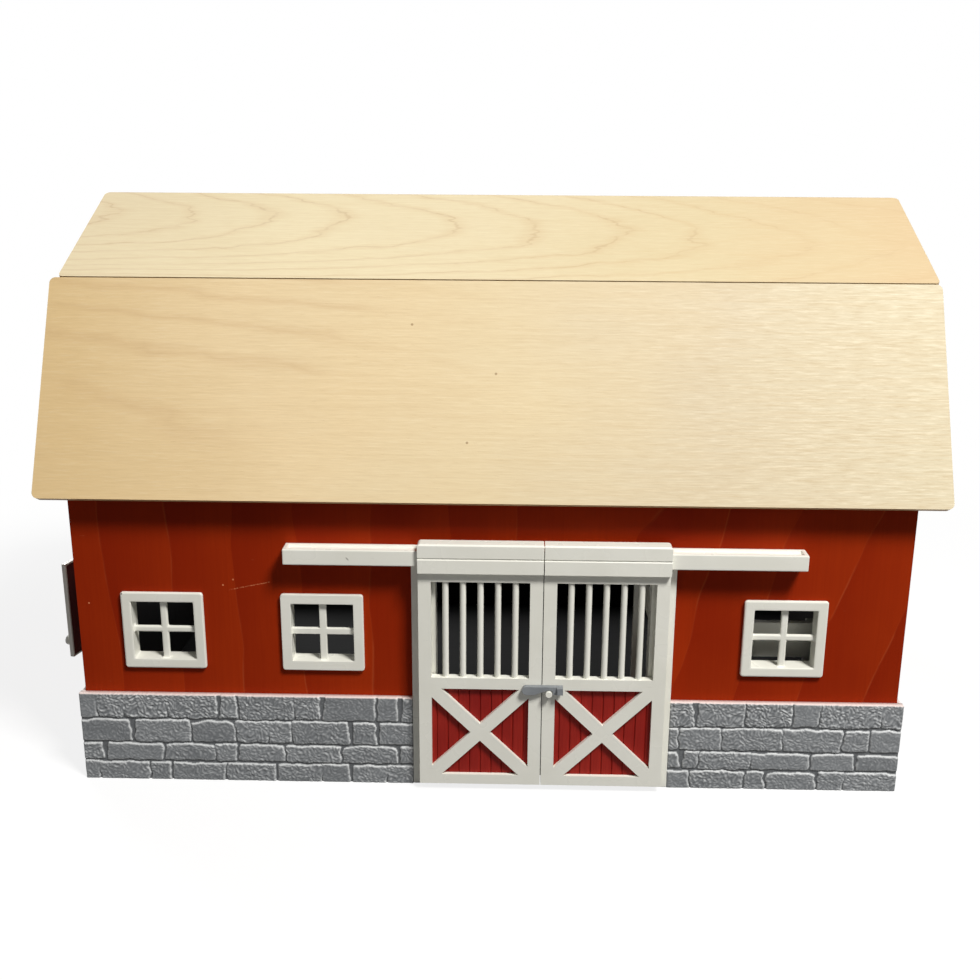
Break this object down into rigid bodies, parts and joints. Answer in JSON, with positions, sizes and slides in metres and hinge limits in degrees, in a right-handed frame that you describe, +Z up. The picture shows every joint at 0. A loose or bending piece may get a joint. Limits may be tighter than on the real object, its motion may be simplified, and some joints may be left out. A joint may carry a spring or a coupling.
{
  "type": "toy barn",
  "caption": "Wooden toy barn with a gambrel roof, moulded stone base, barred sliding front doors with a drop latch, small windows and a side hatch.",
  "frame": {"origin": "on the ground under the middle of the walls' length and depth", "axes": "+X along the barn towards its right end, -Y towards the front with the doors, +Z up"},
  "size_m": [0.6018, 0.3648, 0.3943],
  "materials": {
    "charcoal_board": "dark painted plywood",
    "red_stain": "red-brown stained plywood, satin",
    "birch": "clear birch plywood, satin",
    "stone": "grey moulded stone relief",
    "white_plastic": "warm off-white moulded plastic, satin",
    "crimson_panel": "crimson moulded plastic, grooved",
    "grey_plastic": "mid grey moulded plastic",
    "steel": "plain pin wire"
  },
  "bodies": {
    "barn": {"floor_board": "charcoal_board", "front_wall": "red_stain", "left_gable": "red_stain", "right_gable": "red_stain", "back_rail": "red_stain", "back_sill": "charcoal_board", "ridge_beam": "birch", "front_purlin": "birch", "back_purlin": "birch", "front_lower_roof": "birch", "front_upper_roof": "birch", "back_upper_roof": "birch", "back_lower_roof": "birch", "front_left_stone": "stone", "front_right_stone": "stone", "left_side_stone": "stone", "right_side_stone": "stone", "door_frame": "white_plastic", "door_track": "white_plastic", "left_window": "white_plastic", "middle_window": "white_plastic", "right_window": "white_plastic", "hatch_frame": "white_plastic", "hatch_hinge_pin": "steel", "stall_fence": "white_plastic"},
    "left_door": {"left_door_leaf": "white_plastic", "left_door_panel": "crimson_panel", "left_door_hanger": "white_plastic"},
    "right_door": {"right_door_leaf": "white_plastic", "right_door_panel": "crimson_panel", "right_door_hanger": "white_plastic", "latch_peg": "white_plastic"},
    "latch": {"latch_lever": "grey_plastic", "latch_clip": "grey_plastic"},
    "side_hatch": {"hatch_leaf": "white_plastic", "hatch_panel": "crimson_panel", "hatch_knob": "white_plastic"}
  },
  "joints": [
    {"name": "left_door_slide", "type": "slide", "parent": "barn", "child": "left_door", "axis": [-1, 0, 0], "range_m": [0, 0.085]},
    {"name": "right_door_slide", "type": "slide", "parent": "barn", "child": "right_door", "axis": [1, 0, 0], "range_m": [0, 0.085]},
    {"name": "latch_turn", "type": "hinge", "parent": "left_door", "child": "latch", "pos_m": [0.03, -0.178, 0.078], "axis": [0, -1, 0], "range_deg": [0, 90]},
    {"name": "hatch_turn", "type": "hinge", "parent": "barn", "child": "side_hatch", "pos_m": [-0.2851, -0.077, 0.112], "axis": [0, 0, -1], "range_deg": [-14, 91]}
  ]
}
